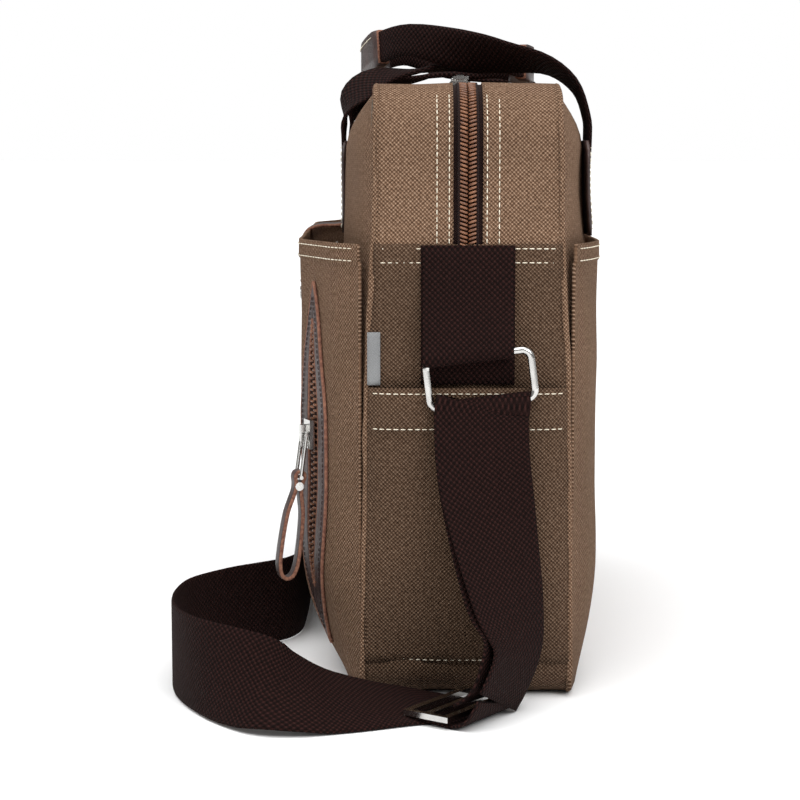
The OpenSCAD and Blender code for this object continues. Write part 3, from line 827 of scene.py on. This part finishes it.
def side_pocket(side, mats):
    """The flat pocket on one end of the bag, with a deep folded hem."""
    name = "side_pocket_right" if side > 0 else "side_pocket_left"
    fold_z = SIDE_HEM - SIDE_FOLD
    heights = steps(SIDE_FOOT, fold_z, 22) + steps(fold_z + 0.001, SIDE_HEM, 5)
    rows = []
    for z in heights:
        w = half_depth(z) - 0.0006
        fold = SIDE_RISE if z > fold_z else 0.0
        ys = [w * math.sin(t * math.pi / 2) for t in steps(-1, 1, 30)]
        rows.append([Vector((side * (side_pocket_x(y, z) + fold), y, z)) for y in ys])
    if side < 0:
        rows = [row[::-1] for row in rows]
    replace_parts(cloth(name, rows, mats["canvas_low_shaded"]), name)
    items = []
    for z in (SIDE_HEM - 0.003, fold_z + 0.002):
        points = [Vector((side * (side_pocket_x(y, z) + SIDE_RISE), y, z)) for y in steps(-0.051, 0.051, 30)]
        items += stitches(points, [Vector((side, 0, 0))])
    capsules(f"{name}_stitches", items, mats["thread"], THREAD_R)


# ---------------------------------------------------------------- inside

def lining(mats):
    """The lining: a loose cloth box open along the zip."""
    rows = []
    for p, n in over_path(0.02):
        rows.append([p - n * 0.004 + Vector((0, y, 0)) for y in steps(-0.050, 0.050, 12)])
    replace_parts(cloth("lining", rows, mats["lining"], LINING), "lining")
    for name, side in (("lining_front", -1), ("lining_back", 1)):
        rows = []
        for z in steps(0.008, 0.322, 24):
            w = half_width(z) - 0.006
            rows.append([Vector((x, side * (0.0505 + rumple(Vector((x, 5, z)), 0.001, 0.05)), z))
                         for x in steps(w, -w, 30)])
        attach(cloth(name, rows, mats["lining"], LINING), "bag")


def upright_cloth(node, w, y, low, high, material, thickness):
    """An upright flat piece inside the bag, with a little unevenness."""
    rows = [[Vector((x, y + rumple(Vector((x, y, z)), 0.0008, 0.05), z)) for x in steps(-w, w, 28)]
            for z in steps(low, high, 20)]
    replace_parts(cloth(node, rows, material, thickness), node)


def inside(mats):
    """The padded divider, the slip pocket and the divider of the front pocket."""
    lining(mats)
    for node, w, y, low, high, thickness in INSIDE_CLOTHS:
        upright_cloth(node, w, y, low, high, mats["lining"], thickness)


# ---------------------------------------------------------------- zips

def main_zip(mats):
    """The main zip's tape and its coil of bent teeth."""
    path = over_path(GUSSET_Z - 0.003)
    rows = strip_rows(path, lambda z: -TAPE_HALF, lambda z: TAPE_HALF, -0.0006, 6)
    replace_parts(cloth("main_zip_tape", rows, mats["tape"], 0.0006), "main_zip_tape")
    points = [p + n * 0.0009 for p, n in path]
    items = []
    for p, t, share in walk(points, COIL_PITCH):
        out = path[min(int(share * len(path)), len(path) - 1)][1]
        for s in (-1, 1):
            middle = p + Vector((0, s * COIL_MIDDLE, 0)) + t * (0.0007 * s)
            items.append((middle, Vector((0, COIL_REACH, 0)) + t * (COIL_SLANT * s), out))
    coil = capsules("main_zip_coil", items, mats["coil"], COIL_R)
    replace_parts(coil, "main_zip_coil")
    for name, s in (("main_zip_cord_front", -1), ("main_zip_cord_back", 1)):
        cord = [p + Vector((0, s * CORD_MIDDLE, 0)) for p in points]
        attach(sleeve(name, cord_between(cord, CORD_R), [mats["tape"]]), "bag")


def on_facet(a, z, out):
    """A point on the slanting right part of the front pocket: a across it, out from it."""
    x = FACET_MID[0] + a * math.cos(FACET_TURN)
    return Vector((x, -pocket_face(FRONT_FACE, x, z), z)) + FACET_OUT * out


def lens_half(z, width, length):
    """Half of the width of an upright lens at a height from its middle."""
    r = (length * length + width * width) / (4 * width)
    return math.sqrt(max(r * r - z * z, 0.0)) - (r - width / 2)


def frame_edge(s, z, inset=0.0, out=0.0011):
    """A point on the leather frame's outer edge, inset from it, at a height z from its middle."""
    return on_facet(s * (lens_half(z, FRAME_W, FRAME_L) - inset), FRAME_MID + z, out)


def slot_half(z):
    """Half of the width of the frame's opening at a height z from the frame's middle."""
    return lens_half(z - (ZIP_MID - FRAME_MID), SLOT_W, SLOT_L)


def front_zip_frame(mats):
    """The leather frame: a lens with a narrower lens cut out for the zip, and its raw edges."""
    half = FRAME_L / 2
    heights = steps(-half, half, 70)
    for name, s in (("right", 1), ("left", -1)):
        rows = []
        for z in steps(-half + 0.0015, half - 0.0015, 60):
            across = steps(max(0.0, slot_half(z)), lens_half(z, FRAME_W, FRAME_L), 4)
            rows.append([on_facet(s * a, FRAME_MID + z, FRAME_RISE) for a in across])
        if s < 0:
            rows = [row[::-1] for row in rows]
        obj = cloth(f"front_zip_frame_{name}", rows, mats["leather"], FRAME_THICK)
        if s > 0:
            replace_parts(obj, "front_zip_frame")
        rim = [frame_edge(s, z) for z in heights]
        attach(sleeve(f"front_zip_rim_{name}", cord_between(rim, RIM_R), [mats["edge"]]), "bag")
        beside_zip = [z for z in heights if abs(z - ZIP_MID + FRAME_MID) < ZIP_L / 2 + 0.003]
        lip = [on_facet(s * slot_half(z), FRAME_MID + z, 0.0012) for z in beside_zip]
        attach(sleeve(f"front_zip_lip_{name}", cord_between(lip, LIP_R), [mats["edge"]]), "bag")
        seam = [frame_edge(s, z, 0.003, 0.0020) for z in steps(-half + 0.008, half - 0.008, 60)]
        items = stitches(seam, [FACET_OUT], 0.003)
        capsules(f"front_zip_seam_{name}", items, mats["dark_thread"], FINE_THREAD_R)


def front_zip(mats):
    """The front zip's tape and teeth."""
    low, high = ZIP_MID - ZIP_L / 2, ZIP_MID + ZIP_L / 2
    rows = [[on_facet(a, z, 0.0006) for a in steps(-0.0072, 0.0072, 4)] for z in steps(low, high, 40)]
    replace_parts(cloth("front_zip_tape", rows, mats["tape"], 0.0005), "front_zip_tape")
    items = []
    for k, z in enumerate(steps(low + 0.001, high - 0.001, TEETH)):
        s = 1 if k % 2 else -1
        side = on_facet(s * 0.0022, z, TOOTH_OUT)
        reach = (on_facet(0.0026, z, TOOTH_OUT) - on_facet(0.0, z, TOOTH_OUT)) * s
        items.append((side, reach * 0.85, FACET_OUT))
    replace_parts(capsules("front_zip_coil", items, mats["coil"], TOOTH_R), "front_zip_coil")


def pull_point(across, out, drop):
    """A point in the front pull's own frame: across the pocket, out from it and down from its pin."""
    turn = Euler((-PULL_LEAN, 0, 0)).to_matrix()
    local = turn @ Vector((across, -out, -drop))
    return PULL_PIN + Euler((0, 0, FACET_TURN)).to_matrix() @ local


def pull_loop(mats):
    """The leather loop on the front zip's pull: one strip folded round the hook's lower bar."""
    across = (pull_point(0.001, 0, 0) - pull_point(0, 0, 0)).normalized()
    side = [(0.0, 20.9), (2.0, 21.6), (2.6, 24), (1.9, 27), (1.6, 31), (2.6, 36), (4.4, 44), (5.2, 55),
            (5.4, 66), (5.0, 74), (3.2, 79.4), (0.0, 81.2)]
    outline = side + [(-a, d) for a, d in side[-2:0:-1]] + [side[0]]
    points = smooth([pull_point(0, a * MM, d * MM) for a, d in outline], 3)
    frames = [(p, across, 0.0062, TAB_THICK) for p in points]
    obj = band("front_pull_loop", frames, [mats["leather"], mats["edge"]])
    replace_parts(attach(obj, "front_pull"), "front_pull_loop")


# ---------------------------------------------------------------- leather and tag

def tab(mats):
    """The snap tab and the patch that holds it."""
    points = smooth([Vector(p) * MM for p, w in TAB_ROUTE], 4)
    widths = smooth([w * MM for p, w in TAB_ROUTE], 4)
    frames = [(p, Vector((1, 0, 0)), w, TAB_THICK) for p, w in zip(points, widths)]
    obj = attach(band("snap_tab", frames, [mats["leather"], mats["edge"]]), "snap_tab")
    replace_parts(obj, "snap_tab")
    patch_points = [Vector((0, -panel_y(0, z) - 0.0012, z)) for z in steps(0.250, 0.268, 4)]
    frames = [(p, Vector((1, 0, 0)), 0.030, 0.0018) for p in patch_points]
    patch_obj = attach(band("tab_patch", frames, [mats["leather"], mats["edge"]]), "bag")
    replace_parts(patch_obj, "tab_patch")


def patch(name, x, side, mats):
    """A leather patch over the foot of a hand grip's webbing, stitched round its border."""
    heights = steps(PATCH_LOW, PATCH_HIGH, 10)
    points = [Vector((x, side * (panel_y(x, z) + 0.0016), z)) for z in heights]
    ends = [0.80, 0.95] + [1.0] * 7 + [0.95, 0.80]
    frames = [(p, Vector((1, 0, 0)), PATCH_W * e, PATCH_THICK) for p, e in zip(points, ends)]
    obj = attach(band(name, frames, [mats["leather"], mats["leather"]]), "bag")
    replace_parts(obj, name)
    reach = PATCH_W / 2 - 0.0035
    low, high = PATCH_LOW + 0.004, PATCH_HIGH - 0.004
    corners = [(-reach, high), (-reach, low), (reach, low), (reach, high)]
    border = [Vector((x + dx, 0, z)) for dx, z in corners]
    dense = []
    for a, b in zip(border, border[1:] + border[:1]):
        dense += [a.lerp(b, t) for t in steps(0, 1, 8)[:-1]]
    dense.append(dense[0])
    seam = [Vector((p.x, side * (panel_y(x, p.z) + 0.0028), p.z)) for p in dense]
    items = stitches(seam, [Vector((0, side, 0))], SHORT_STITCH)
    capsules(f"{name}_stitches", items, mats["thread"], THREAD_R)


def side_tag(mats):
    """A small grey ribbon folded out of the front seam on the right end."""
    rows = []
    for z in steps(0.1712, 0.1995, 12):
        x = HALF_W + 0.0022 + 0.0004 * math.sin(z * 300)
        rows.append([Vector((x, y, z)) for y in steps(-0.0535, -0.0465, 3)])
    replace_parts(cloth("side_tag", rows, mats["ribbon"], 0.0008), "side_tag")


# ---------------------------------------------------------------- webbing

def frames_of(route, count):
    """Frames for a band from rows of point, width direction and maybe width and thickness."""
    columns = [smooth([Vector(row[k]) for row in route], count) for k in (0, 1)]
    width = [STRAP_W] * len(columns[0])
    thick = [WEBBING] * len(columns[0])
    if len(route[0]) > 2:
        width = [w * MM for w in smooth([row[2] for row in route], count)]
        thick = [t * MM for t in smooth([row[3] for row in route], count)]
    return [(p * MM, a, w, t) for p, a, w, t in zip(*columns, width, thick)]


def shoulder_strap(mats):
    """The strap in three lengths: its two ends at the rings, and the rest, which goes with the bag."""
    count = 5
    frames = frames_of(RETURN_ROUTE + RING_WRAP + STRAP_ROUTE, count)
    near, far = NEAR_END * count, FAR_END * count
    spans = {
        "strap_near_end": (frames[:near + 1], "hung", "ring_right"),
        "shoulder_strap": (frames[near:far + 1], "laid", "adjuster"),
        "strap_far_end": (frames[far:], "hung", "ring_left"),
    }
    made = {}
    for name, (part, held, rests_on) in spans.items():
        obj = band(name, part, [mats["webbing"]])
        made[name] = obj
    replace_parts(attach(made["shoulder_strap"], "bag"), "shoulder_strap")
    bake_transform(made["strap_near_end"])
    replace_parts(made["strap_near_end"], "strap_return")
    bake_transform(made["strap_far_end"])


def ring_tab(side, mats):
    """The webbing between the end gusset and a ring, folded round the ring's upper bar."""
    tilt = math.tan(math.radians(7)) if side > 0 else 0.0
    y = 0.004 if side > 0 else 0.0
    low = Vector((0, 1, tilt))
    upper = [((193.6, 243.5), (0, 1, 0)), ((194.2, 232), (0, 1, 0)), ((196.4, 214), (0, 1, tilt / 2))]
    fold = [(201.6, 199), (204.0, 190), (203.3, 186.2), (200.5, 184.6), (197.8, 186.0), (196.6, 190),
            (195.0, 198), (193.3, 206)]
    route = [((side * x, y, z), a) for (x, z), a in upper + [(p, low) for p in fold]]
    frames = [(p, a, RING_TAB_W, t) for p, a, w, t in frames_of(route, 4)]
    name = "ring_tab_right" if side > 0 else "ring_tab_left"
    obj = band(name, frames, [mats["webbing"]])
    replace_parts(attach(obj, "bag"), name)
    strip = "anchor_strip_right" if side > 0 else "anchor_strip_left"
    rows = [Vector((side * (HALF_W + 0.0017), y * MM, z)) for z in steps(0.1715, 0.2455, 10)]
    frames = [(p, Vector((0, 1, 0)), STRAP_W, WEBBING) for p in rows]
    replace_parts(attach(band(strip, frames, [mats["webbing"]]), "bag"), strip)
    seam = [Vector((side * 197.3, y + dy, z)) * MM for dy, z in ((-20, 208.5), (20, 211.5))]
    items = stitches(seam, [Vector((side, 0, 0))], 0.003)
    capsules(f"{name}_stitches", items, mats["dark_thread"], DARK_THREAD_R)


def mirrored(route):
    """The other half of a hand grip's route."""
    out = []
    for p, a, w, t in reversed(route[:-1]):
        out.append(((-p[0], p[1], p[2]), (-a[0], a[1], a[2]), w, t))
    return out


def hand_grip(name, route, mats):
    """A hand grip: webbing from patch to patch, and the leather sewn round its folded middle."""
    count = 4
    frames = frames_of(route + mirrored(route), count)
    body = f"{name}_handle"
    obj = band(body, frames, [mats["webbing"]])
    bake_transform(obj)
    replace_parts(obj, body)
    wrapped = frames[GRIP_FROM * count:-GRIP_FROM * count]
    last = len(wrapped) - 1
    rings = []
    for i, (p, a, w, t) in enumerate(wrapped):
        end = 0.92 if i in (0, last) else 1.0
        rings.append((p, a, (w + 0.0036) * end, GRIP_THICK * end))
    wrap = band(f"{name}_grip", rings, [mats["leather"], mats["edge"]], edges=(7,))
    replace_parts(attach(wrap, body), f"{name}_grip")
    points = [f[0] for f in wrapped]
    items = []
    for s in (-1, 1):
        seam = []
        normals = []
        for (p, a, w, t), tangent in zip(wrapped[1:-1], tangents(points)[1:-1]):
            across = (a - a.dot(tangent) * tangent).normalized()
            normal = tangent.cross(across) * s
            seam.append(p + across * (w / 2 - 0.0022) + normal * 0.0039)
            normals.append(normal)
        items += stitches(seam, normals, SHORT_STITCH)
    capsules(f"{name}_grip_stitches", items, mats["thread"], FINE_THREAD_R, body)


# ---------------------------------------------------------------- stage

def surroundings():
    """A white backdrop for the camera, and a studio with light above and dark sides for the bag."""
    world = bpy.data.worlds.new("studio")
    bpy.context.scene.world = world
    world.use_nodes = True
    nodes = world.node_tree.nodes
    links = world.node_tree.links
    white = nodes["Background"]
    white.inputs["Color"].default_value = ROOM_WHITE
    room = nodes.new("ShaderNodeBackground")
    split = nodes.new("ShaderNodeSeparateXYZ")
    ramp = nodes.new("ShaderNodeValToRGB")
    links.new(nodes.new("ShaderNodeTexCoord").outputs["Generated"], split.inputs[0])
    links.new(split.outputs["Z"], ramp.inputs[0])
    stops = ramp.color_ramp.elements
    stops[0].color = ROOM_DARK
    stops[1].position = 0.75
    stops[1].color = ROOM_WHITE
    links.new(ramp.outputs[0], room.inputs["Color"])
    room.inputs["Strength"].default_value = ROOM_STRENGTH
    mix = nodes.new("ShaderNodeMixShader")
    links.new(nodes.new("ShaderNodeLightPath").outputs["Is Camera Ray"], mix.inputs[0])
    links.new(room.outputs[0], mix.inputs[1])
    links.new(white.outputs[0], mix.inputs[2])
    links.new(mix.outputs[0], nodes["World Output"].inputs["Surface"])


def soft_box(name, place, target, size, power):
    """A square area light at a place, facing a target."""
    light = bpy.data.objects.new(name, bpy.data.lights.new(name, "AREA"))
    light.data.size = size
    light.data.energy = power
    light.location = place
    light.rotation_euler = (Vector(target) - Vector(place)).to_track_quat("-Z", "Y").to_euler()
    bpy.context.scene.collection.objects.link(light)


def stage():
    """The camera, the pale floor and the soft light."""
    camera = bpy.data.objects.new("camera", bpy.data.cameras.new("camera"))
    camera.data.lens = LENS
    camera.data.sensor_width = SENSOR
    camera.location = CAMERA_AT
    camera.rotation_euler = (math.radians(90) - CAMERA_DOWN, 0, math.radians(90))
    bpy.context.scene.collection.objects.link(camera)
    bpy.context.scene.camera = camera

    bpy.ops.mesh.primitive_plane_add(size=60, location=(0, 0, -0.0006))
    floor = bpy.context.object
    floor.name = "floor"
    pale = plain("floor", (0.90, 0.90, 0.90), (0.92, 0.92, 0.92), 0.4, 0.9, 0.0, gloss=0.0)
    floor.data.materials.append(pale)

    surroundings()
    sun = bpy.data.objects.new("sky_light", bpy.data.lights.new("sky_light", "SUN"))
    sun.data.energy = SUN_STRENGTH
    sun.data.angle = SUN_WIDTH
    sun.rotation_euler = (math.radians(10), math.radians(20), 0)
    bpy.context.scene.collection.objects.link(sun)
    soft_box("key_box", (1.5, 0.9, 1.3), (0.1, 0, 0.22), 1.0, KEY_POWER)
    bpy.context.scene.view_settings.view_transform = "Standard"


def build():
    """Every visible piece of the bag."""
    mats = make_materials()
    for node in METAL_NODES:
        paint(node, mats["metal"])
    paint("base_board", mats["board"])
    shoulder_strap(mats)
    for side in (1, -1):
        ring_tab(side, mats)
        side_gusset(side, mats)
        side_pocket(side, mats)
        zip_gusset(side, mats)
        seam_roll(side, mats)
    panel("front_panel", -1, mats["canvas"])
    panel("back_panel", 1, mats["canvas"])
    base(mats)
    inside(mats)
    big_pocket("front_pocket", FRONT_FACE, -1, mats)
    big_pocket("back_pocket", BACK_FACE, 1, mats)
    main_zip(mats)
    front_zip_frame(mats)
    front_zip(mats)
    pull_loop(mats)
    tab(mats)
    for name, x, side in (("front_patch", 0.085, -1), ("back_patch", 0.125, 1)):
        patch(f"{name}_right", x, side, mats)
        patch(f"{name}_left", -x, side, mats)
    side_tag(mats)
    hand_grip("back", BACK_ROUTE, mats)
    hand_grip("front", FRONT_ROUTE, mats)


def paint(node, material):
    """A new material for a node that is carried over."""
    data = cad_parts[node].data
    data.materials.clear()
    data.materials.append(material)


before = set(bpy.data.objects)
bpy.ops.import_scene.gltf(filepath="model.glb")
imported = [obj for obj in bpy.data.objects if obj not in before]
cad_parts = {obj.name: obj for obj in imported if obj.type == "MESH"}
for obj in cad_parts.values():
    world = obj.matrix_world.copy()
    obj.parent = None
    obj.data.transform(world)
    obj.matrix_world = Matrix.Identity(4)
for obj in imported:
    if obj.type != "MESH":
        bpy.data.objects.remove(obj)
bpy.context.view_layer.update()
stage()
build()
